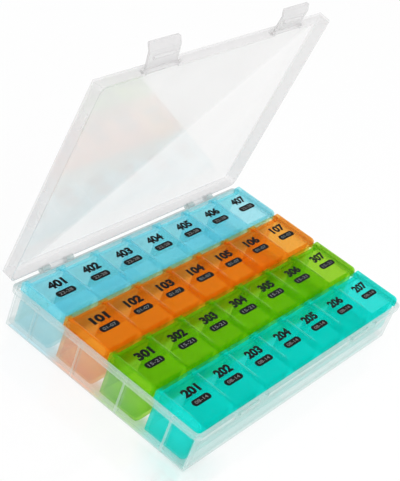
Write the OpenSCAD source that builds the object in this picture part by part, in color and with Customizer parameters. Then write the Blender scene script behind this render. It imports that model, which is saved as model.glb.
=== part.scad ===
// Four-week pill organizer: a clear hinged case with four lift-out strips,
// each with seven lidded day compartments. Millimetres.
// Origin at the centre of the case's underside: X runs along the strips,
// Y from the front to the hinge side, Z up.
// Drawn with the case lid raised, its latches thrown back and the day lids shut.

/* [Strips] */
// Distance from one day lid to the next
day_pitch = 30; // [27:0.5:36]
// Depth of one strip, front to back
strip_d = 33.9; // [31:0.1:38]
// Height of one strip, from its underside to its lid tops
strip_h = 31.2; // [26:0.2:38]
// Gap between neighbouring strips
strip_gap = 0.5; // [0.3:0.1:1]
// Thickness of the walls between compartments
bin_wall = 1.2; // [0.8:0.1:1.6]
// Thickness of the bottom of a compartment
bin_floor = 1.3; // [1:0.1:2]
// How far the front and back walls stand in from the strip's outline
bin_inset = 0.45; // [0.3:0.05:0.8]
// Thickness of the wall at the front of the compartments
front_wall = 2.2; // [1.8:0.1:2.8]
// Thickness of the wall at the back of the compartments
back_wall = 2.2; // [1.8:0.1:2.8]
// Outside radius of the scooped edge at the front of the underside
scoop_r = 11; // [7:0.5:13]
// Outside radius of the other bottom edges
heel_r = 4; // [2.5:0.25:5]
// Width of the cap that closes each end of a strip
cap_w = 2.6; // [2.2:0.1:3.4]
// How far a cap leans out between its top and its lower edge
cap_lean = 1.5; // [0.5:0.1:1.8]
// Height of the caps at the ends of a strip
cap_h = 6.5; // [5.5:0.1:8]
// Rounding along the top edge of a cap
cap_r = 0.9; // [0.5:0.1:1.2]
// Corner radius of a strip seen from above
strip_r = 3.4; // [3:0.1:4]

/* [Day lids] */
// Thickness of a day lid
lid_t = 1.4; // [1:0.1:1.8]
// Gap between neighbouring day lids
lid_gap = 0.5; // [0.4:0.1:0.8]
// Radius of the rounded front of a day lid
lip_r = 4.4; // [4:0.1:4.5]
// Rounding of the side edges of a day lid
edge_r = 0.5; // [0.3:0.05:0.7]
// Radius of the hinge barrel at the back of a day lid
barrel_r = 2.3; // [2:0.1:2.5]
// Radius of the hinge pins of a day lid
pin_r = 0.9; // [0.7:0.05:1.1]
// Length of the hinge pins of a day lid
pin_len = 1.6; // [1.2:0.1:1.8]
// Width of the lugs that hold the hinge pins
lug_w = 4.4; // [4:0.1:5.5]
// How far the lugs stay inside the barrels' outline
lug_drop = 0.15; // [0.1:0.05:0.3]

/* [Case base] */
// Thickness of the case's walls
case_wall = 1.2; // [1:0.1:1.5]
// Thickness of the case's floor
floor_t = 2.2; // [1.6:0.1:3]
// How far the top of the rim lies below the day lids' tops
rim_drop = 4.6; // [3.8:0.1:5]
// Height of the rim's outer band with its lip
rim_h = 3.4; // [3:0.1:4.4]
// Width of the shelf between the rim's inside and the walls
shelf_w = 0.2; // [0.1:0.05:0.3]
// Width of the lip along the inside of the rim
lip_w = 0.8; // [0.6:0.05:1.2]
// Height of the lip above the ledge that the case lid shuts on
lip_h = 0.8; // [0.5:0.05:1.2]
// Corner radius of the case seen from above
case_r = 5; // [4:0.25:7]
// Radius of the case's bottom edges
foot_r = 3; // [2.5:0.1:4]
// How far the walls lean in between the rim and the floor
draft = 0.4; // [0.2:0.05:0.5]
// Room behind the last strip
back_room = 1.9; // [1.6:0.1:3]
// Width of the upright ribs on the case's walls
rib_w = 1.6; // [1.2:0.1:2.4]

/* [Case lid] */
// Thickness of the case lid
cover_t = 1.3; // [1.1:0.1:1.8]
// Free height between the shut day lids and the shut case lid
headroom = 1.7; // [1:0.1:4]
// Rounding along the case lid's outer edges
cover_r = 2; // [1.8:0.1:3]
// How far the skirt leans in between its free edge and the top
cover_lean = 0.3; // [0.1:0.05:0.5]
// Angle that the case lid stands open, from shut
cover_angle = 81.5; // [0:0.5:170]

/* [Case hinge] */
// Distance of the two hinges from the middle
hinge_x = 70; // [45:1:80]
// Radius of the hinge knuckles
knuckle_r = 2.2; // [1.9:0.1:2.4]
// Length of the lid's knuckle
knuckle_w = 14; // [8:0.5:20]
// Width of each lug on the case
case_lug_w = 6; // [5:0.5:8]
// Radius of the hinge pin
hinge_pin_r = 1.1; // [0.9:0.05:1.3]
// Length of each hinge pin
hinge_pin_len = 4; // [2.5:0.25:4.25]
// How far the hinge axis stands out from the rim
hinge_out = 1.2; // [1:0.05:1.4]

/* [Latches] */
// Distance of the two latches from the middle
latch_x = 60.5; // [45:0.5:80]
// Width of a latch
latch_w = 27; // [22:0.5:32]
// Length of a latch from its hinge axis
latch_len = 16; // [14.5:0.25:18]
// Length of a latch's straight part, down to its finger tip
latch_bend = 11.5; // [10:0.25:12.5]
// Corner radius of the finger tip
tip_r = 1.2; // [0.8:0.1:4]
// Thickness of a latch
latch_t = 1.4; // [1.2:0.1:1.6]
// How far the finger tip of a latch flares out
flare = 1.8; // [0.5:0.1:3]
// Angle that the left latch stands open, from shut
latch_left_angle = 104; // [0:1:122]
// Angle that the right latch stands open, from shut
latch_right_angle = 88; // [0:1:122]
// Radius of the latch's hinge barrel
latch_barrel_r = 1.5; // [1.4:0.05:1.6]
// Radius of the ears that carry a latch
ear_r = 1.6; // [1.5:0.05:1.65]
// Width of each ear
ear_w = 3; // [2.6:0.1:4]
// Radius of a latch's hinge pins
latch_pin_r = 0.8; // [0.6:0.05:0.9]
// Length of a latch's hinge pins
latch_pin_len = 2; // [1.4:0.1:2.2]
// Radius of the catch on the case
catch_r = 1.15; // [1:0.05:1.25]
// Radius of the bead on the latch that snaps under the catch
bead_r = 1.1; // [1:0.05:1.15]
// Length of the bead and of its catch
bead_w = 19; // [14:0.5:21]

/* [Clearances] */
// Gap between pieces that move past each other
run_gap = 0.3; // [0.25:0.05:0.4]
// Gap round a pin in its bore
pin_gap = 0.05; // [0.03:0.01:0.08]
// Gap between a shut lid and what it shuts on
seat_gap = 0.2; // [0.1:0.05:0.3]
// Gap under a strip on the case's floor
rest_gap = 0.05; // [0.02:0.01:0.1]
// Gap between the strips and the case's rim
strip_clear = 0.5; // [0.4:0.1:1]

/* [Hidden] */
$fn = 48;
days = 7;
weeks = 4;
back_ribs = 4;
// Overlap that joins solids, and overshoot of cuts
weld = 0.4;
clear_cut = 2;
case_color = [0.93, 0.94, 0.95, 0.4];
// Front to back
strip_colors = [[0.05, 0.8, 0.75], [0.5, 0.76, 0.1], [0.93, 0.52, 0.1], [0.43, 0.8, 0.9]];

// Strips
cells_w = days * day_pitch;
strip_w = cells_w + 2 * cap_w;
strip_pitch = strip_d + strip_gap;
bins_w = cells_w + bin_wall;
bins_d = strip_d - 2 * bin_inset;
cell_w = day_pitch - bin_wall;
barrel_y = strip_d / 2 - barrel_r;
barrel_z = strip_h - barrel_r;
lip_y = lip_r - strip_d / 2;
lip_z = strip_h - lip_r;
// Where the tray's own walls end under a day lid
under_r = lip_r - lid_t - seat_gap;
under_z = strip_h - lid_t - seat_gap;
step_y = barrel_y - barrel_r - 2 * run_gap;
step_z = barrel_z - barrel_r - run_gap;
barrel_w = day_pitch - lug_w - 2 * run_gap;
cell_front = bin_inset + front_wall - strip_d / 2;
cell_back = bins_d / 2 - back_wall;
cell_d = cell_back - cell_front;
cap_in = (cells_w - lid_gap) / 2 + run_gap;

// Case
ledge_w = cover_t + seat_gap;
rim_w = ledge_w + lip_w;
rim_out = rim_w + shelf_w - case_wall;
case_w = strip_w + 2 * (strip_clear + rim_w);
case_d = weeks * strip_pitch - strip_gap + strip_clear + back_room + 2 * rim_w;
strip_z = floor_t + rest_gap;
rim_top = strip_z + strip_h - rim_drop;
rim_z = rim_top - rim_h;
ledge_z = rim_top - lip_h;
wall_w = case_w - 2 * rim_out;
wall_d = case_d - 2 * rim_out;
room_w = wall_w - 2 * case_wall;
room_d = wall_d - 2 * case_wall;
shelf_z = rim_z + case_wall / 2;
rib_top = rim_z - weld;
rib_gap = run_gap + pin_gap;
first_strip_y = strip_clear + rim_w + (strip_d - case_d) / 2;

// Case lid and its hinge
cover_z = ledge_z + seat_gap;
cover_h = lip_h - seat_gap + rim_drop + headroom + cover_t;
hinge_y = case_d / 2 + hinge_out;
hinge_z = ledge_z + seat_gap / 2;

// Latches
latch_y = -case_d / 2 - run_gap;
latch_z = cover_z + ear_r + seat_gap / 2;
latch_in = run_gap - seat_gap;
catch_z = rim_z - catch_r + weld;
bead_drop = sqrt(pow(catch_r + bead_r + run_gap, 2) - pow(-latch_y - latch_in - wall_d / 2, 2));
bead_z = catch_z - bead_drop;

function strip_y(week) = first_strip_y + (week - 1) * strip_pitch;
function day_x(day) = (day - (days + 1) / 2) * day_pitch;
function tray_name(week) = str("strip_", week, "_tray");
function lid_name(week, day) = str("strip_", week, "_lid_", day);

// Flat shape drawn in Y and Z, drawn out along X
module along_x(length) {
    rotate([90, 0, 90])
        linear_extrude(length, center = true)
            children();
}

// Flat shape drawn in X and Z, drawn out along Y
module along_y(length) {
    rotate([90, 0, 0])
        linear_extrude(length, center = true)
            children();
}

// Round bar along X
module rod(r, length) {
    rotate([0, 90, 0])
        cylinder(r = r, h = length, center = true);
}

// Turns its children about an axis along X, opening upward and back
module swing(y, z, angle) {
    translate([0, y, z])
        rotate([-angle, 0, 0])
            translate([0, -y, -z])
                children();
}

module rounded_rect(w, d, r) {
    square([w, d - 2 * r], center = true);
    square([w - 2 * r, d], center = true);
    for (x = [-1, 1], y = [-1, 1])
        translate([x * (w / 2 - r), y * (d / 2 - r)])
            circle(r);
}

// Section of a tub: leaning sides and rounded bottom edges
module tub_profile(w, h, lean, r) {
    a = atan(lean / h);
    x = w / 2 - lean - r * (1 - sin(a)) / cos(a);
    side = x + r * cos(a);
    rise = r * (1 - sin(a));
    polygon([[w / 2, h], [side, rise], [x, 0], [-x, 0], [-side, rise], [-w / 2, h]]);
    for (s = [-1, 1])
        translate([s * x, r])
            circle(r);
}

// Tub with leaning sides, rounded upright corners and rounded bottom edges
module tub(w, d, h, lean, plan_r, bottom_r) {
    intersection() {
        linear_extrude(h)
            rounded_rect(w, d, plan_r);
        along_y(d + clear_cut)
            tub_profile(w, h, lean, bottom_r);
        along_x(w + clear_cut)
            tub_profile(d, h, lean, bottom_r);
    }
}

// Case base

module rim_ring(z, h, w, d, r) {
    translate([0, 0, z])
        linear_extrude(h)
            rounded_rect(w, d, r);
}

module hinge_lugs() {
    for (x = [-hinge_x, hinge_x], s = [-1, 1])
        translate([x + s * (knuckle_w + case_lug_w + 2 * run_gap) / 2, hinge_y, hinge_z]) {
            rod(knuckle_r, case_lug_w);
            translate([-case_lug_w / 2, -hinge_out - weld, -knuckle_r])
                cube([case_lug_w, hinge_out + weld, knuckle_r]);
        }
}

module latch_recess(x) {
    w = latch_w + 2 * (ear_w + run_gap);
    translate([x - w / 2, -wall_d / 2 - clear_cut, rim_z - clear_cut])
        cube([w, clear_cut, rim_h + clear_cut]);
}

module wall_ribs() {
    end_x = bins_w / 2 + rib_gap;
    end_run = (room_w + case_wall) / 2 - draft - end_x;
    back_y = strip_y(weeks) + bins_d / 2 + rib_gap;
    back_run = (room_d + case_wall) / 2 - draft - back_y;
    rib_h = rib_top - floor_t + weld;
    for (s = [-1, 1], week = [1:weeks])
        translate([s * (end_x + end_run / 2), strip_y(week), rib_top - rib_h / 2])
            cube([end_run, rib_w, rib_h], center = true);
    for (i = [1:back_ribs])
        translate([(2 * i - back_ribs - 1) * day_pitch, back_y + back_run / 2, rib_top - rib_h / 2])
            cube([rib_w, back_run, rib_h], center = true);
}

module case_base() {
    color(case_color) {
        difference() {
            union() {
                tub(wall_w, wall_d, ledge_z, draft, case_r, foot_r);
                rim_ring(rim_z, ledge_z - rim_z, case_w, case_d, case_r);
                rim_ring(rim_z, rim_h, case_w - 2 * ledge_w, case_d - 2 * ledge_w, case_r - ledge_w);
                hinge_lugs();
            }
            translate([0, 0, floor_t])
                tub(room_w, room_d, rim_top, draft, case_r - case_wall, foot_r - case_wall);
            rim_ring(shelf_z, rim_h, case_w - 2 * rim_w, case_d - 2 * rim_w, case_r - rim_w);
            for (x = [-latch_x, latch_x])
                latch_recess(x);
            for (x = [-hinge_x, hinge_x])
                translate([x, hinge_y, hinge_z]) {
                    rod(knuckle_r + run_gap, knuckle_w + 2 * run_gap);
                    rod(hinge_pin_r + pin_gap, knuckle_w + 4 * run_gap + 2 * hinge_pin_len);
                }
        }
        wall_ribs();
        for (x = [-latch_x, latch_x])
            translate([x, -wall_d / 2, catch_z])
                rod(catch_r, bead_w);
    }
}

// Case lid, drawn shut and then swung open

module cover_shell() {
    difference() {
        translate([0, 0, cover_z + cover_h])
            mirror([0, 0, 1])
                tub(case_w, case_d, cover_h, cover_lean, case_r, cover_r);
        translate([0, 0, cover_z + cover_h - cover_t])
            mirror([0, 0, 1])
                tub(case_w - 2 * cover_t, case_d - 2 * cover_t, cover_h, cover_lean,
                    case_r - cover_t, cover_r - cover_t);
    }
}

module latch_ears() {
    for (x = [-latch_x, latch_x], s = [-1, 1])
        translate([x + s * (latch_w / 2 + run_gap + ear_w / 2), latch_y, latch_z])
            rod(ear_r, ear_w);
}

module latch_opening() {
    h = latch_z - cover_z + latch_barrel_r + run_gap;
    translate([-latch_w / 2 - run_gap, -case_d / 2 - clear_cut, cover_z - clear_cut])
        cube([latch_w + 2 * run_gap, cover_t + 2 * clear_cut, h + clear_cut]);
}

module case_lid() {
    color(case_color)
        swing(hinge_y, hinge_z, cover_angle) {
            difference() {
                union() {
                    cover_shell();
                    latch_ears();
                }
                for (x = [-latch_x, latch_x])
                    translate([x, 0, 0]) {
                        latch_opening();
                        translate([0, latch_y, latch_z])
                            rod(latch_pin_r + pin_gap, latch_w + 4 * run_gap + 2 * latch_pin_len);
                    }
                for (x = [-hinge_x, hinge_x], s = [-1, 1])
                    translate([x + s * (knuckle_w + case_lug_w + 2 * run_gap) / 2, hinge_y, hinge_z])
                        rod(knuckle_r + run_gap, case_lug_w + 2 * run_gap);
            }
            for (x = [-hinge_x, hinge_x])
                translate([x, hinge_y, hinge_z]) {
                    rod(knuckle_r, knuckle_w);
                    rod(hinge_pin_r, knuckle_w + 2 * (run_gap + hinge_pin_len));
                }
        }
}

// Latches

module latch_plate() {
    out = latch_in - latch_t;
    intersection() {
        along_x(latch_w)
            polygon([
                [latch_in, 0], [latch_in, -latch_bend], [latch_in - flare, -latch_len],
                [out - flare, -latch_len], [out, -latch_bend], [out, 0]
            ]);
        along_y(latch_len)
            translate([0, -latch_len / 2 + tip_r / 2])
                rounded_rect(latch_w, latch_len + tip_r, tip_r);
    }
}

module latch_shut() {
    translate([0, latch_y, latch_z]) {
        latch_plate();
        rod(latch_barrel_r, latch_w);
        rod(latch_pin_r, latch_w + 2 * (run_gap + latch_pin_len));
        translate([0, latch_in, bead_z - latch_z])
            rod(bead_r, bead_w);
    }
}

module latch(x, angle) {
    color(case_color)
        swing(hinge_y, hinge_z, cover_angle)
            swing(latch_y, latch_z, angle)
                translate([x, 0, 0])
                    latch_shut();
}

module latch_left() {
    latch(-latch_x, latch_left_angle);
}

module latch_right() {
    latch(latch_x, latch_right_angle);
}

// Trays, drawn about the strip's own middle with their underside at zero

// Section of a trough: upright walls and a different bottom radius on each side
module trough_profile(front, back, front_r, back_r, h) {
    polygon([
        [front, h], [front, front_r], [front + front_r, 0],
        [back - back_r, 0], [back, back_r], [back, h]
    ]);
    translate([front + front_r, front_r])
        circle(front_r);
    translate([back - back_r, back_r])
        circle(back_r);
}

// Section through the compartments' walls, which stop just under the day lids
module bins_profile() {
    half = bins_d / 2;
    low = strip_h / 2;
    seat_z = lip_z - seat_gap;
    trough_profile(-half, half, scoop_r, heel_r, low + weld);
    polygon([
        [-half, low], [-half, seat_z], [lip_y - under_r, seat_z], [lip_y - under_r, lip_z],
        [lip_y, under_z], [step_y, under_z], [step_y, step_z], [half, step_z], [half, low]
    ]);
    translate([lip_y, lip_z])
        circle(under_r);
}

module bins_body() {
    intersection() {
        along_x(bins_w + clear_cut)
            bins_profile();
        along_y(strip_d)
            translate([0, strip_h])
                rounded_rect(bins_w, 2 * strip_h, heel_r);
        translate([0, 0, -clear_cut])
            linear_extrude(strip_h + clear_cut)
                rounded_rect(bins_w, bins_d, heel_r);
    }
}

module compartment() {
    corner = heel_r - bin_wall;
    translate([0, 0, bin_floor])
        intersection() {
            along_x(cell_w + clear_cut)
                trough_profile(cell_front, cell_back, scoop_r - front_wall, corner, strip_h);
            along_y(strip_d)
                translate([0, strip_h])
                    rounded_rect(cell_w, 2 * strip_h, corner);
            translate([0, (cell_front + cell_back) / 2, -clear_cut])
                linear_extrude(strip_h + clear_cut)
                    rounded_rect(cell_w, cell_d, corner);
        }
}

// Section of an end cap, which carries on the day lids' outline
module cap_profile() {
    low = strip_h - cap_h;
    half = strip_d / 2;
    polygon([
        [-half, low], [-half, lip_z], [lip_y, strip_h],
        [barrel_y, strip_h], [half, barrel_z], [half, low]
    ]);
    translate([lip_y, lip_z])
        circle(lip_r);
    translate([barrel_y, barrel_z])
        circle(barrel_r);
}

module pin_lug(w) {
    foot = step_z - weld;
    translate([0, barrel_y, barrel_z])
        rod(barrel_r - lug_drop, w);
    translate([-w / 2, barrel_y - barrel_r / 2, foot])
        cube([w, bins_d / 2 - barrel_y + barrel_r / 2, barrel_z - foot]);
}

// End caps, trimmed to the strip's leaning outline
module end_caps() {
    intersection() {
        linear_extrude(strip_h)
            rounded_rect(strip_w, strip_d, strip_r);
        along_y(strip_d + clear_cut)
            translate([0, strip_h])
                mirror([0, 1])
                    tub_profile(strip_w, cap_h, cap_lean, cap_r);
        for (s = [-1, 1])
            translate([s * (cap_in + cap_w / 2), 0, 0])
                along_x(cap_w)
                    cap_profile();
    }
}

// Lugs between the day lids, and a shorter one against each end cap
module pin_lugs() {
    end_in = (cells_w - lug_w) / 2;
    end_w = cap_in + weld - end_in;
    for (i = [1:days - 1])
        translate([i * day_pitch - cells_w / 2, 0, 0])
            pin_lug(lug_w);
    for (s = [-1, 1])
        translate([s * (end_in + end_w / 2), 0, 0])
            pin_lug(end_w);
}

module tray(week) {
    color(strip_colors[week - 1])
        translate([0, strip_y(week), strip_z])
            difference() {
                union() {
                    difference() {
                        bins_body();
                        for (day = [1:days])
                            translate([day_x(day), 0, 0])
                                compartment();
                    }
                    end_caps();
                    pin_lugs();
                }
                translate([0, barrel_y, barrel_z])
                    rod(pin_r + pin_gap, 2 * (day_x(days) + pin_len + run_gap) + barrel_w);
            }
}

// Day lids

module lid_profile(back) {
    translate([lip_y, strip_h - lid_t])
        square([back - lip_y, lid_t]);
    translate([lip_y, lip_z])
        intersection() {
            difference() {
                circle(lip_r);
                circle(lip_r - lid_t);
            }
            translate([-lip_r, 0])
                square(lip_r);
        }
}

module day_lid(week, day) {
    w = day_pitch - lid_gap;
    notch_y = barrel_y - barrel_r - run_gap;
    color(strip_colors[week - 1])
        translate([day_x(day), strip_y(week), strip_z]) {
            intersection() {
                along_x(w + clear_cut)
                    lid_profile(notch_y);
                along_y(strip_d + clear_cut)
                    translate([0, lip_z])
                        rounded_rect(w, 2 * lip_r, edge_r);
            }
            translate([-barrel_w / 2, notch_y - weld, strip_h - lid_t])
                cube([barrel_w, barrel_y - notch_y + weld, lid_t]);
            translate([0, barrel_y, barrel_z]) {
                rod(barrel_r, barrel_w);
                rod(pin_r, barrel_w + 2 * pin_len);
            }
        }
}

case_base();
case_lid();
latch_left();
latch_right();
for (week = [1:weeks])
    tray(week);
for (week = [1:weeks], day = [1:days])
    day_lid(week, day);
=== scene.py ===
"""Looks for the four-week pill organizer: clear case, tinted strips, printed numbers and the stage."""

import math

import bmesh
import bpy
from bpy.props import FloatProperty, FloatVectorProperty, PointerProperty
from mathutils import Matrix, Vector


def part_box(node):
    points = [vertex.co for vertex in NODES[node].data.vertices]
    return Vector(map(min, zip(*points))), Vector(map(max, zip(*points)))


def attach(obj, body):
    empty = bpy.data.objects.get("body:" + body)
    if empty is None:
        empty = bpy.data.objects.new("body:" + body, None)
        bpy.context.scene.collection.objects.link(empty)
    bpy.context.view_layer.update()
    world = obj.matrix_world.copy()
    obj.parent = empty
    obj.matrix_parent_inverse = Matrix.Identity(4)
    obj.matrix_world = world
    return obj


bl_info = {
    "name": "Pill Organizer Looks",
    "version": (1, 0, 0),
    "blender": (4, 5, 0),
    "location": "View3D > Sidebar > Pill Organizer",
    "description": "Plastics, printed numbers and stage for a four-week pill organizer",
    "category": "Object",
}

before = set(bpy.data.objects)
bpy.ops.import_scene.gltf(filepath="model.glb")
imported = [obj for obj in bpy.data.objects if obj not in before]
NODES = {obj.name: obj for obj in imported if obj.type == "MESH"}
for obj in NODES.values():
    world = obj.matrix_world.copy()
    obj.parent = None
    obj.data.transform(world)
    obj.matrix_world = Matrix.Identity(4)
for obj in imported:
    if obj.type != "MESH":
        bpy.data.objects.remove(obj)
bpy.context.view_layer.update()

DAYS = (1, 2, 3, 4, 5, 6, 7)
DAYS_IN_WEEK = len(DAYS)
STRIP_SLOTS = {1: "teal", 2: "green", 3: "orange", 4: "sky_blue"}
# Week that each strip holds, front to back
STRIP_WEEK = {1: 2, 2: 3, 3: 1, 4: 4}

# Places in the shared frame, in metres
STRIP_PITCH = 0.0344
FRONT_STRIP_Y = -0.0523
FRONT_EDGE_Y = FRONT_STRIP_Y - STRIP_PITCH / 2
DAY_PITCH = 0.030
FOOT_HALF_X = 0.1072
FOOT_HALF_Y = 0.0689
FOOT_EDGE = 0.0016

WHITE = (1.0, 1.0, 1.0)
# Light that one skin of the case lets pass beside its frosting
CLEAR = (0.99, 0.99, 0.99)
# Least light that a skin of tinted plastic lets pass, in each of red, green and blue
DARKEST = 0.003
# How many skins over each other show the plastic's own colour
TRAY_SKINS = 6
LID_SKINS = 11
# How far the plastic's body varies with the flow marks
FLOW_SPREAD = 0.02
# Height of the moulded grain and of the ink's grain, in metres
GRAIN_HEIGHT = 0.0002
INK_GRAIN_HEIGHT = 0.00005
# Gloss of the tinted plastics and of the ink
PLASTIC_SPECULAR = 0.3
INK_SPECULAR = 0.08

# How much one skin of the case hides, by place
LEAST_FROST = 0.025
LEFT_END_FROST = 0.24
FRONT_WALL_FROST = 0.42
RIM_FROST = 0.36
BACK_RIM_FROST = 0.6
# Frost of the bottom edges, which paints their bright lines as a highlight
BOTTOM_EDGE_HIGHLIGHT_FROST = 0.26
RIB_FROST = 0.4
# The pane is clearer below a diagonal than above it, so its brighter lower right is a painted sheen
PANE_FROST_IN_PAINTED_SHEEN = 0.13
PANE_FROST_BESIDE_PAINTED_SHEEN = 0.31
END_SKIRT_FROST = 0.34
FRONT_SKIRT_FROST = 0.42
BACK_SKIRT_FROST = 0.5
LATCH_FROST = 0.50
LATCH_TIP_FROST = 0.57

# How far the outline of the numbers is thickened, for type of size one
NUMBER_WEIGHT = 0.055
CURVE_STEPS = 4
SAME_POINT = 1e-5
BADGE_SIDES = 32

FLOOR_RADIUS = 6.0
FLOOR_SIDES = 64
# Share of the strips' coloured light painted on the floor under the case, and whiteness of the floor
# for the camera
PAINTED_LIGHT_SHARE = 0.62
FLOOR_WHITENESS = 0.84
# The floor's mirror image shows most below this corner of the case
MIRROR_CORNER = (-0.112, -0.074)
MIRROR_SHARE = 0.62

# Strength of the surroundings as light, and where they are seen
LIGHT_STRENGTH = 0.82
SHOWN_STRENGTH = 1.0
KEY_LAMP_PLACE = (-0.5, -0.9, 1.2)
KEY_LAMP_AIM = (0.0, 0.0, 0.03)
KEY_LAMP_SIZE = 0.9
KEY_LAMP_WATTS = 9.0

CAMERA_PLACE = (-0.601691, -0.28053, 0.483571)
CAMERA_DEGREES = (55.42073, -17.40798, -50.95796)
CAMERA_SENSOR = 36.0
CAMERA_LENS = 99.2285
CAMERA_SHIFT = (0.01981, 0.0062)
CAMERA_CLIP = (0.01, 50.0)
# Clear skins that a ray may cross
CLEAR_SKINS = 48


def from_screen(red, green, blue):
    """Linear colour of a screen colour given in steps of 255."""
    steps = (red / 255, green / 255, blue / 255)
    return tuple(s / 12.92 if s <= 0.04045 else ((s + 0.055) / 1.055) ** 2.4 for s in steps)


def colour_setting(name, description, colour):
    return FloatVectorProperty(
        name=name,
        description=description,
        default=from_screen(*colour),
        subtype="COLOR",
        min=0.0,
        max=1.0,
    )


def length_setting(name, description, metres):
    return FloatProperty(
        name=name, description=description, default=metres, unit="LENGTH", min=0.0, precision=5
    )


def share_setting(name, description, share):
    return FloatProperty(
        name=name, description=description, default=share, subtype="FACTOR", min=0.0, max=1.0
    )


class PillOrganizerColours(bpy.types.PropertyGroup):
    """Colours of the plastics and of the print"""

    teal: colour_setting("Teal", "Plastic of the front strip", (0, 214, 204))
    green: colour_setting("Green", "Plastic of the second strip", (116, 194, 4))
    orange: colour_setting("Orange", "Plastic of the third strip", (244, 138, 22))
    sky_blue: colour_setting("Sky blue", "Plastic of the back strip", (134, 219, 239))
    # The case's pale teal-grey haze is partly the plastic's own tint and partly painted glow from the
    # teal strip behind its front wall
    case: colour_setting("Case", "Haze in the clear plastic of the case base", (220, 234, 233))
    cover: colour_setting(
        "Case lid", "Haze in the clear plastic of the case lid and its latches", (240, 238, 239)
    )
    ink: colour_setting("Ink", "Printed numbers and badges", (12, 14, 15))
    mark: colour_setting("Mark", "Small figures left pale in the badges", (118, 122, 122))
    floor: colour_setting("Floor", "Floor that the organizer stands on", (250, 250, 250))


class PillOrganizerSizes(bpy.types.PropertyGroup):
    """Sizes of the print and shares of the plastics' look"""

    number_height: length_setting("Number height", "Height of the printed numbers", 0.0061)
    number_width: length_setting("Number width", "Width of one printed number", 0.0140)
    number_back: length_setting(
        "Number place", "Distance of a number behind the middle of its strip", 0.0050
    )
    badge_length: length_setting("Badge length", "Length of a badge along the strip", 0.0157)
    badge_depth: length_setting("Badge depth", "Depth of a badge, front to back", 0.0045)
    badge_front: length_setting(
        "Badge place", "Distance of a badge in front of the middle of its strip", 0.0029
    )
    figure_height: length_setting(
        "Figure height", "Height of the small figures in a badge", 0.0021
    )
    figure_width: length_setting("Figure width", "Width of the small figures in a badge", 0.0110)
    print_thickness: length_setting("Print thickness", "Thickness of the printed film", 0.00005)
    lid_body: share_setting(
        "Day lid body", "How much one skin of a day lid hides what is under it", 0.05
    )
    tray_body: share_setting(
        "Tray body", "How much one skin of a strip's tray hides what is behind it", 0.16
    )


class Value:
    """A shader socket that can stand in a Python expression."""

    def __init__(self, recipe, socket):
        self.recipe = recipe
        self.socket = socket

    def _math(self, operation, *given):
        return self.recipe.node(
            "ShaderNodeMath", {"operation": operation}, dict(enumerate((self, *given)))
        )

    def __add__(self, other):
        return self._math("ADD", other)

    def __sub__(self, other):
        return self._math("SUBTRACT", other)

    def __mul__(self, other):
        return self._math("MULTIPLY", other)

    def __abs__(self):
        return self._math("ABSOLUTE")

    def most(self, other):
        return self._math("MAXIMUM", other)

    def within(self, step):
        """How far a value lies past the last whole number of steps."""
        return self - self._math("SNAP", step)

    def nearest(self, step):
        """Distance to the nearest whole number of steps."""
        return abs(self - (self + step / 2)._math("SNAP", step))

    def ramp(self, start, end, low=0.0, high=1.0):
        """Smooth change from low at start to high at end."""
        return self.recipe.node(
            "ShaderNodeMapRange",
            {"interpolation_type": "SMOOTHSTEP"},
            {"Value": self, "From Min": start, "From Max": end, "To Min": low, "To Max": high},
        )


class Recipe:
    """One material, or the surroundings, built node by node."""

    def __init__(self, owner):
        self.owner = owner
        owner.use_nodes = True
        self.tree = owner.node_tree
        self.tree.nodes.clear()

    @classmethod
    def material(cls, name):
        recipe = cls(bpy.data.materials.new(name))
        recipe.place = recipe.node("ShaderNodeTexCoord", {}, {}, "Object")
        return recipe

    def node(self, kind, settings, sockets, output=0):
        """Adds a node, sets it up, links its sockets and returns one of its outputs."""
        node = self.tree.nodes.new(kind)
        for name, value in settings.items():
            setattr(node, name, value)
        for name, value in sockets.items():
            socket = node.inputs[name]
            if isinstance(value, Value):
                self.tree.links.new(value.socket, socket)
            elif isinstance(value, (tuple, list)) and len(value) == 3 and socket.type == "RGBA":
                socket.default_value = (*value, 1.0)
            else:
                socket.default_value = value
        return Value(self, node.outputs[output]) if node.outputs else None

    def axes(self):
        """Object coordinates as three values, in metres."""
        node = self.node("ShaderNodeSeparateXYZ", {}, {"Vector": self.place}).socket.node
        return [Value(self, socket) for socket in node.outputs]

    def noise(self, scale, detail=2.0, roughness=0.5):
        return self.node(
            "ShaderNodeTexNoise",
            {},
            {"Vector": self.place, "Scale": scale, "Detail": detail, "Roughness": roughness},
        )

    def blend(self, share, first, second):
        """Colour that goes from first to second."""
        return self.node(
            "ShaderNodeMix",
            {"data_type": "RGBA", "clamp_factor": True},
            {0: share, 6: first, 7: second},
            2,
        )

    def bump(self, height, strength, distance):
        return self.node(
            "ShaderNodeBump",
            {},
            {"Height": height, "Strength": strength, "Distance": distance},
            "Normal",
        )

    def plastic(self, **sockets):
        names = {
            key.replace("_", " ").title().replace("Ior", "IOR"): value
            for key, value in sockets.items()
        }
        return self.node("ShaderNodeBsdfPrincipled", {}, names, "BSDF")

    def seen(self):
        """One where a ray comes from the camera, a mirror image or a look through something clear."""
        paths = self.node("ShaderNodeLightPath", {}, {}).socket.node
        names = ("Is Camera Ray", "Is Glossy Ray", "Is Transmission Ray")
        camera, mirrored, through = (Value(self, paths.outputs[name]) for name in names)
        return camera.most(mirrored).most(through)

    def solid(self, **sockets):
        """Ends the recipe in a solid plastic."""
        self.node("ShaderNodeOutputMaterial", {}, {"Surface": self.plastic(**sockets)})
        return self.owner

    def see_through(self, body, glow, **sockets):
        """Ends the recipe in a plastic that lets the rest of the light pass, tinted by glow."""
        clear = self.node("ShaderNodeBsdfTransparent", {}, {"Color": glow})
        hidden = self.plastic(**sockets)
        surface = self.node("ShaderNodeMixShader", {}, {0: body, 1: clear, 2: hidden})
        self.node("ShaderNodeOutputMaterial", {}, {"Surface": surface})
        return self.owner


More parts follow.
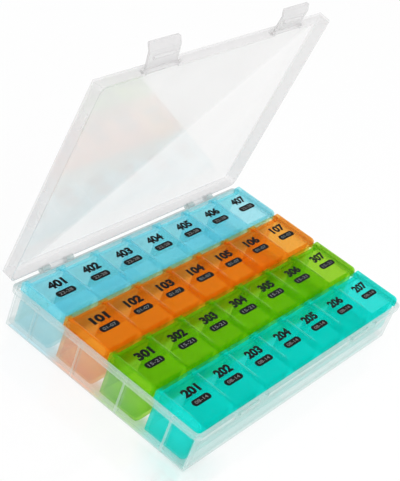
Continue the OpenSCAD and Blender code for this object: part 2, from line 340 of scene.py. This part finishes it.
def scaled(colour, share):
    return tuple(min(1.0, c * share) for c in colour)


def mixed(first, second, share):
    return tuple(a + (b - a) * share for a, b in zip(first, second))


def moulded_grain(recipe):
    """Fine skin of moulded plastic: a height for the bump and a patchy share for the gloss."""
    skin = recipe.noise(1400.0, 3.0, 0.6)
    patches = recipe.noise(70.0, 2.0)
    return skin, patches


def flow_marks(recipe):
    """Soft unevenness of tinted plastic where it flowed into the mould."""
    return recipe.noise(38.0, 3.0, 0.55)


def uneven(flow, body):
    """The plastic's body, a little more or less with the flow marks."""
    return flow.ramp(0.2, 0.8, body - FLOW_SPREAD, body + FLOW_SPREAD)


def behind_front_edge(y):
    """Distance behind the front edge of the strip that a point lies in."""
    return (y - FRONT_EDGE_Y).within(STRIP_PITCH)


def one_skin(colour, skins):
    """Light that one skin lets pass, where so many skins over each other show the colour itself."""
    return tuple(max(c, DARKEST) ** (1 / skins) for c in colour)


def tinted_plastic(name, colour, body):
    """Translucent plastic of a tray.

    It is denser in its back wall, its left end and the top of its ends, which paints a glow along
    those edges, and clearer low in its right end.
    """
    recipe = Recipe.material(name)
    skin, patches = moulded_grain(recipe)
    flow = flow_marks(recipe)
    x, y, z = recipe.axes()
    # Painted glow: the back wall, the left end and the tops of the ends are made denser, so the tray's
    # over-bright haze colour shows there as edge glow
    back_wall_painted_glow = behind_front_edge(y).ramp(0.0318, 0.0328, 0.0, 0.34) * z.ramp(0.0292, 0.0276)
    left_end = x.ramp(-0.1045, -0.1058, 0.0, 0.1)
    right_end = x.ramp(0.1040, 0.1052, 0.0, 0.1) * z.ramp(0.0265, 0.0245)
    end_tops_painted_glow = abs(x).ramp(0.1046, 0.1054) * z.ramp(0.0265, 0.0285)
    end_tops_painted_glow = end_tops_painted_glow * x.ramp(-0.1, 0.1, 0.03, 0.24)
    return recipe.see_through(
        back_wall_painted_glow.most(left_end) + end_tops_painted_glow - right_end + uneven(flow, body),
        one_skin(colour, TRAY_SKINS),
        base_color=recipe.blend(flow.ramp(0.3, 0.7), scaled(colour, 1.3), scaled(colour, 1.5)),
        roughness=patches.ramp(0.3, 0.7, 0.24, 0.34),
        specular_ior_level=PLASTIC_SPECULAR,
        normal=recipe.bump(skin, 0.06, GRAIN_HEIGHT),
    )


def lid_plastic(name, colour, body):
    """Translucent plastic of a day lid, paler and denser along its sides behind the front lip, which
    paints highlight lines there.
    """
    recipe = Recipe.material(name)
    skin, patches = moulded_grain(recipe)
    flow = flow_marks(recipe)
    x, y, z = recipe.axes()
    behind_lip = behind_front_edge(y).ramp(0.004, 0.010)
    # Painted highlight: the sides are made paler and denser, which draws bright lines along each lid's
    # sides
    painted_side_highlight = x.nearest(DAY_PITCH).ramp(0.0142, 0.0147) * behind_lip * z.ramp(0.0316, 0.0326)
    tint = recipe.blend(flow.ramp(0.3, 0.7), scaled(colour, 1.2), scaled(colour, 1.4))
    return recipe.see_through(
        painted_side_highlight * 0.3 + uneven(flow, body),
        one_skin(colour, LID_SKINS),
        base_color=recipe.blend(painted_side_highlight * 0.8, tint, mixed(colour, WHITE, 0.22)),
        roughness=patches.ramp(0.3, 0.7, 0.2, 0.3),
        specular_ior_level=PLASTIC_SPECULAR,
        normal=recipe.bump(skin, 0.05, GRAIN_HEIGHT),
    )


def frosted_plastic(name, colour, frost_of):
    """Clear plastic whose frosting is worked out from where a point lies."""
    recipe = Recipe.material(name)
    skin, patches = moulded_grain(recipe)
    cloud = recipe.noise(26.0, 3.0, 0.5)
    frost = frost_of(*recipe.axes())
    greyness = frost.ramp(0.28, 0.55) + cloud.ramp(0.3, 0.7, -0.1, 0.1)
    return recipe.see_through(
        cloud.ramp(0.25, 0.75, -0.02, 0.02) + frost,
        CLEAR,
        base_color=recipe.blend(greyness, colour, scaled(colour, 0.82)),
        roughness=patches.ramp(0.3, 0.7, 0.16, 0.26),
        coat_weight=1.0,
        coat_roughness=0.06,
        coat_ior=1.9,
        normal=recipe.bump(skin, 0.01, GRAIN_HEIGHT),
    )


def base_frost(x, y, z):
    """The case base is frosted at its rim, front wall, bottom edges and ribs; the frosting of the
    bottom edges paints their bright lines as a highlight.

    Its left end is frosted more and more towards the back, and the rest is nearly clear.
    """
    left_end = y.ramp(-0.062, 0.066, 0.0, LEFT_END_FROST) * x.ramp(-0.1040, -0.1050)
    front = y.ramp(-0.0680, -0.0692, 0.0, FRONT_WALL_FROST)
    rim = z.ramp(0.0252, 0.0258) * y.ramp(0.0680, 0.0695, RIM_FROST, BACK_RIM_FROST)
    # Painted highlight: frosting along the bottom edges draws them as bright lines
    edge = abs(x).ramp(0.0850, 0.1060).most(abs(y).ramp(0.0665, 0.0675))
    bottom_edges_painted_highlight = z.ramp(0.0040, 0.0020, 0.0, BOTTOM_EDGE_HIGHLIGHT_FROST) * edge
    from_rib = (y - FRONT_STRIP_Y).nearest(STRIP_PITCH)
    ribs = from_rib.ramp(0.0010, 0.0007) * x.ramp(-0.1060, -0.1062, 0.0, RIB_FROST)
    return left_end.most(front).most(rim).most(bottom_edges_painted_highlight).most(ribs).most(LEAST_FROST)


def lid_frost_and_painted_sheen(x, _y, z):
    """The pane of the case lid is clearer below a diagonal, which paints a sheen on its lower right,
    and its skirts are frosted most.
    """
    # Painted sheen: the pane is clearer below this diagonal, so its lower right reads brighter
    above_painted_sheen_edge = z * 0.8185 - x * 0.5745 - 0.07475
    pane = above_painted_sheen_edge.ramp(-0.0006, 0.0006, PANE_FROST_IN_PAINTED_SHEEN, PANE_FROST_BESIDE_PAINTED_SHEEN)
    ends = abs(x).ramp(0.1070, 0.1085, 0.0, END_SKIRT_FROST)
    front = z.ramp(0.1702, 0.1712, 0.0, FRONT_SKIRT_FROST)
    back = z.ramp(0.0322, 0.0312, 0.0, BACK_SKIRT_FROST)
    return pane.most(ends).most(front).most(back)


def latch_frost(_x, _y, z):
    """A latch is frosted evenly, and denser at its finger tip."""
    return z.ramp(0.172, 0.187, LATCH_FROST, LATCH_TIP_FROST)


def print_film(name, colour):
    """Printed ink, a little uneven."""
    recipe = Recipe.material(name)
    grain = recipe.noise(2600.0, 2.0)
    return recipe.solid(
        base_color=recipe.blend(grain.ramp(0.35, 0.65), scaled(colour, 0.85), scaled(colour, 1.2)),
        roughness=grain.ramp(0.3, 0.7, 0.5, 0.62),
        specular_ior_level=INK_SPECULAR,
        normal=recipe.bump(grain, 0.08, INK_GRAIN_HEIGHT),
    )


def settings():
    """Colours and sizes that are set on the scene."""
    scene = bpy.context.scene
    return scene.pill_organizer_colours, scene.pill_organizer_sizes


def strip_colours():
    """Colour of each strip's plastic, front to back."""
    colours, _ = settings()
    return {strip: tuple(getattr(colours, slot)) for strip, slot in STRIP_SLOTS.items()}


def paint(node, material):
    mesh = NODES[node].data
    mesh.materials.clear()
    mesh.materials.append(material)


def new_piece(name, mesh, body):
    piece = bpy.data.objects.new(name, mesh)
    bpy.context.scene.collection.objects.link(piece)
    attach(piece, body)


def figures(body, height, width, thickness, weight):
    """Shape of plain figures, lying flat about the origin, of the given height and width."""
    text = bpy.data.curves.new("figures", "FONT")
    text.body = body
    text.align_x, text.align_y = "CENTER", "CENTER"
    text.resolution_u = CURVE_STEPS
    text.offset = weight
    text.extrude = 0.5
    holder = bpy.data.objects.new("figures", text)
    bpy.context.scene.collection.objects.link(holder)
    bpy.context.view_layer.update()
    final = holder.evaluated_get(bpy.context.evaluated_depsgraph_get())
    mesh = bpy.data.meshes.new_from_object(final)
    bpy.data.objects.remove(holder)
    bpy.data.curves.remove(text)
    shape = bmesh.new()
    shape.from_mesh(mesh)
    bpy.data.meshes.remove(mesh)
    bmesh.ops.remove_doubles(shape, verts=shape.verts, dist=SAME_POINT)
    low, high = (Vector(map(f, zip(*(v.co for v in shape.verts)))) for f in (min, max))
    size = high - low
    stretch = (width / size.x, height / size.y, thickness / size.z)
    bmesh.ops.translate(shape, verts=shape.verts, vec=-(low + high) / 2)
    bmesh.ops.scale(shape, verts=shape.verts, vec=stretch)
    bmesh.ops.translate(shape, verts=shape.verts, vec=(0, 0, thickness / 2))
    bmesh.ops.recalc_face_normals(shape, faces=shape.faces)
    return shape


def badge(label, sizes):
    """Rounded badge, lying flat about the origin, with small figures in its second material."""
    radius = sizes.badge_depth / 2
    reach = sizes.badge_length / 2 - radius
    lift = (0, 0, sizes.print_thickness)
    turn = Matrix.Rotation(math.pi / BADGE_SIDES, 4, "Z")
    shape = bmesh.new()
    bmesh.ops.create_circle(
        shape, cap_ends=True, segments=BADGE_SIDES, radius=radius, matrix=turn
    )
    for v in shape.verts:
        v.co.x += math.copysign(reach, v.co.x)
    rise = bmesh.ops.extrude_face_region(shape, geom=shape.faces[:])
    top = [v for v in rise["geom"] if isinstance(v, bmesh.types.BMVert)]
    bmesh.ops.translate(shape, verts=top, vec=lift)
    bmesh.ops.recalc_face_normals(shape, faces=shape.faces)
    small = figures(label, sizes.figure_height, sizes.figure_width, sizes.print_thickness, 0.0)
    bmesh.ops.translate(small, verts=small.verts, vec=lift)
    for face in small.faces:
        face.material_index = 1
    mesh = bpy.data.meshes.new("figures")
    small.to_mesh(mesh)
    small.free()
    shape.from_mesh(mesh)
    bpy.data.meshes.remove(mesh)
    return shape


def lid_top(strip, day):
    """Middle of a strip's depth over one day lid, at the height of the lid's top."""
    tray_low, tray_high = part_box(f"strip_{strip}_tray")
    low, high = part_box(f"strip_{strip}_lid_{day}")
    return Vector(((low.x + high.x) / 2, (tray_low.y + tray_high.y) / 2, high.z))


def print_on_lid(kind, shape, strip, day, back, inks):
    """Lays a printed shape on a day lid, so far behind the middle of the strip."""
    name = f"{kind}_{strip}_{day}"
    place = lid_top(strip, day) + Vector((0, back, 0))
    bmesh.ops.translate(shape, verts=shape.verts, vec=place)
    mesh = bpy.data.meshes.new(name)
    shape.to_mesh(mesh)
    shape.free()
    for ink in inks:
        mesh.materials.append(ink)
    new_piece(name, mesh, f"strip_{strip}_lid_{day}")


class PILLBOX_OT_case(bpy.types.Operator):
    """Gives the case base, the case lid and the latches their clear plastic"""

    bl_idname = "pillbox.case"
    bl_label = "Finish the case"

    def execute(self, context):
        colours, _ = settings()
        cover = tuple(colours.cover)
        paint("case_base", frosted_plastic("clear_case_base", tuple(colours.case), base_frost))
        paint("case_lid", frosted_plastic("clear_case_lid", cover, lid_frost_and_painted_sheen))
        latch = frosted_plastic("clear_latch", cover, latch_frost)
        for node in ("latch_left", "latch_right"):
            paint(node, latch)
        return {"FINISHED"}


class PILLBOX_OT_trays(bpy.types.Operator):
    """Gives the four strips their tinted plastic"""

    bl_idname = "pillbox.trays"
    bl_label = "Finish the strips"

    def execute(self, context):
        _, sizes = settings()
        for strip, colour in strip_colours().items():
            plastic = tinted_plastic(f"{STRIP_SLOTS[strip]}_tray", colour, sizes.tray_body)
            paint(f"strip_{strip}_tray", plastic)
        return {"FINISHED"}


class PILLBOX_OT_day_lids(bpy.types.Operator):
    """Gives the day lids their tinted plastic"""

    bl_idname = "pillbox.day_lids"
    bl_label = "Finish the day lids"

    def execute(self, context):
        _, sizes = settings()
        for strip, colour in strip_colours().items():
            plastic = lid_plastic(f"{STRIP_SLOTS[strip]}_day_lid", colour, sizes.lid_body)
            for day in DAYS:
                paint(f"strip_{strip}_lid_{day}", plastic)
        return {"FINISHED"}


class PILLBOX_OT_numbers(bpy.types.Operator):
    """Prints a plain number on each day lid"""

    bl_idname = "pillbox.numbers"
    bl_label = "Print the numbers"

    def execute(self, context):
        colours, sizes = settings()
        inks = [print_film("number_ink", tuple(colours.ink))]
        for strip, week in STRIP_WEEK.items():
            for day in DAYS:
                shape = figures(
                    str(100 * week + day),
                    sizes.number_height,
                    sizes.number_width,
                    sizes.print_thickness,
                    NUMBER_WEIGHT,
                )
                print_on_lid("number", shape, strip, day, sizes.number_back, inks)
        return {"FINISHED"}


class PILLBOX_OT_badges(bpy.types.Operator):
    """Prints a rounded badge with pale figures in front of each number"""

    bl_idname = "pillbox.badges"
    bl_label = "Print the badges"

    def execute(self, context):
        colours, sizes = settings()
        inks = [
            print_film("badge_ink", tuple(colours.ink)),
            print_film("badge_figures", tuple(colours.mark)),
        ]
        for strip, week in STRIP_WEEK.items():
            last = week * DAYS_IN_WEEK
            label = f"{last - DAYS_IN_WEEK + 1:02d}-{last:02d}"
            for day in DAYS:
                print_on_lid("badge", badge(label, sizes), strip, day, -sizes.badge_front, inks)
        return {"FINISHED"}


def stage_floor(colour, painted_light_colours):
    """Pale floor with a faint mirror image.

    The camera sees it white, but for the shadow and the strips' coloured light, which is painted on it
    under the case.
    """
    recipe = Recipe.material("stage_floor")
    speckle = recipe.noise(40.0, 2.0)
    tint = recipe.blend(speckle.ramp(0.3, 0.7), scaled(colour, 0.99), colour)
    shaded = recipe.plastic(base_color=tint, roughness=0.06, ior=3.0)
    x, y, _ = recipe.axes()
    # Painted light: the strips' colours are laid on the floor's colour under the case, in a band along
    # the edges of the case's foot
    painted_cast_light = painted_light_colours[0]
    for step, next_colour in enumerate(painted_light_colours[1:]):
        gap = FRONT_STRIP_Y + STRIP_PITCH * (step + 0.5)
        painted_cast_light = recipe.blend(y.ramp(gap - 0.008, gap + 0.008), painted_cast_light, next_colour)
    edge = abs(x).ramp(0.088, 0.101).most(abs(y).ramp(0.052, 0.063))
    inside_x = abs(x).ramp(FOOT_HALF_X, FOOT_HALF_X - FOOT_EDGE)
    inside_y = abs(y).ramp(FOOT_HALF_Y, FOOT_HALF_Y - FOOT_EDGE)
    white_with_painted_light = recipe.blend(edge * (inside_x * inside_y) * PAINTED_LIGHT_SHARE, WHITE, painted_cast_light)
    shown = recipe.node("ShaderNodeEmission", {}, {"Color": white_with_painted_light})
    corner_x, corner_y = MIRROR_CORNER
    by_corner = (abs(x - corner_x) + abs(y - corner_y)).ramp(0.045, 0.005)
    whiteness = recipe.seen() * (by_corner * -MIRROR_SHARE + FLOOR_WHITENESS)
    surface = recipe.node("ShaderNodeMixShader", {}, {0: whiteness, 1: shaded, 2: shown})
    recipe.node("ShaderNodeOutputMaterial", {}, {"Surface": surface})
    return recipe.owner


def white_surroundings():
    """Even white light, shown as plain white where it is seen or mirrored."""
    recipe = Recipe(bpy.data.worlds.new("white_surroundings"))
    light, shown = (
        recipe.node("ShaderNodeBackground", {}, {"Color": WHITE, "Strength": strength})
        for strength in (LIGHT_STRENGTH, SHOWN_STRENGTH)
    )
    surface = recipe.node("ShaderNodeMixShader", {}, {0: recipe.seen(), 1: light, 2: shown})
    recipe.node("ShaderNodeOutputWorld", {}, {"Surface": surface})
    return recipe.owner


def area_lamp(name, place, aim, size, watts):
    lamp = bpy.data.lights.new(name, "AREA")
    lamp.shape, lamp.size, lamp.energy = "DISK", size, watts
    holder = bpy.data.objects.new(name, lamp)
    holder.location = place
    holder.rotation_euler = (Vector(aim) - Vector(place)).to_track_quat("-Z", "Y").to_euler()
    bpy.context.scene.collection.objects.link(holder)


class PILLBOX_OT_stage(bpy.types.Operator):
    """Sets up the floor, the soft light, the white surroundings and the camera"""

    bl_idname = "pillbox.stage"
    bl_label = "Set the stage"

    def execute(self, context):
        colours, _ = settings()
        scene = context.scene
        shape = bmesh.new()
        bmesh.ops.create_circle(shape, cap_ends=True, segments=FLOOR_SIDES, radius=FLOOR_RADIUS)
        mesh = bpy.data.meshes.new("floor")
        shape.to_mesh(mesh)
        shape.free()
        mesh.materials.append(stage_floor(tuple(colours.floor), list(strip_colours().values())))
        floor = bpy.data.objects.new("floor", mesh)
        scene.collection.objects.link(floor)

        scene.world = white_surroundings()
        area_lamp("key_lamp", KEY_LAMP_PLACE, KEY_LAMP_AIM, KEY_LAMP_SIZE, KEY_LAMP_WATTS)

        lens = bpy.data.cameras.new("photo_camera")
        lens.sensor_width, lens.lens = CAMERA_SENSOR, CAMERA_LENS
        lens.shift_x, lens.shift_y = CAMERA_SHIFT
        lens.clip_start, lens.clip_end = CAMERA_CLIP
        camera = bpy.data.objects.new("photo_camera", lens)
        camera.location = CAMERA_PLACE
        camera.rotation_euler = [math.radians(angle) for angle in CAMERA_DEGREES]
        scene.collection.objects.link(camera)
        scene.camera = camera
        scene.view_settings.view_transform = "Standard"
        scene.cycles.transparent_max_bounces = CLEAR_SKINS
        return {"FINISHED"}


OPERATORS = (
    PILLBOX_OT_case,
    PILLBOX_OT_trays,
    PILLBOX_OT_day_lids,
    PILLBOX_OT_numbers,
    PILLBOX_OT_badges,
    PILLBOX_OT_stage,
)


class PILLBOX_PT_panel(bpy.types.Panel):
    """Lists the pieces of the pill organizer and their settings"""

    bl_idname = "PILLBOX_PT_panel"
    bl_label = "Pill Organizer"
    bl_space_type = "VIEW_3D"
    bl_region_type = "UI"
    bl_category = "Pill Organizer"

    def draw(self, context):
        for operator in OPERATORS:
            self.layout.operator(operator.bl_idname)
        for group in settings():
            box = self.layout.box()
            for name in group.bl_rna.properties.keys():
                if name not in ("rna_type", "name"):
                    box.prop(group, name)


CLASSES = (PillOrganizerColours, PillOrganizerSizes, *OPERATORS, PILLBOX_PT_panel)


def register():
    for cls in CLASSES:
        bpy.utils.register_class(cls)
    bpy.types.Scene.pill_organizer_colours = PointerProperty(type=PillOrganizerColours)
    bpy.types.Scene.pill_organizer_sizes = PointerProperty(type=PillOrganizerSizes)


def unregister():
    del bpy.types.Scene.pill_organizer_sizes
    del bpy.types.Scene.pill_organizer_colours
    for cls in reversed(CLASSES):
        bpy.utils.unregister_class(cls)


def main():
    register()
    for operator in OPERATORS:
        group, name = operator.bl_idname.split(".")
        getattr(getattr(bpy.ops, group), name)()


if __name__ == "__main__":
    main()
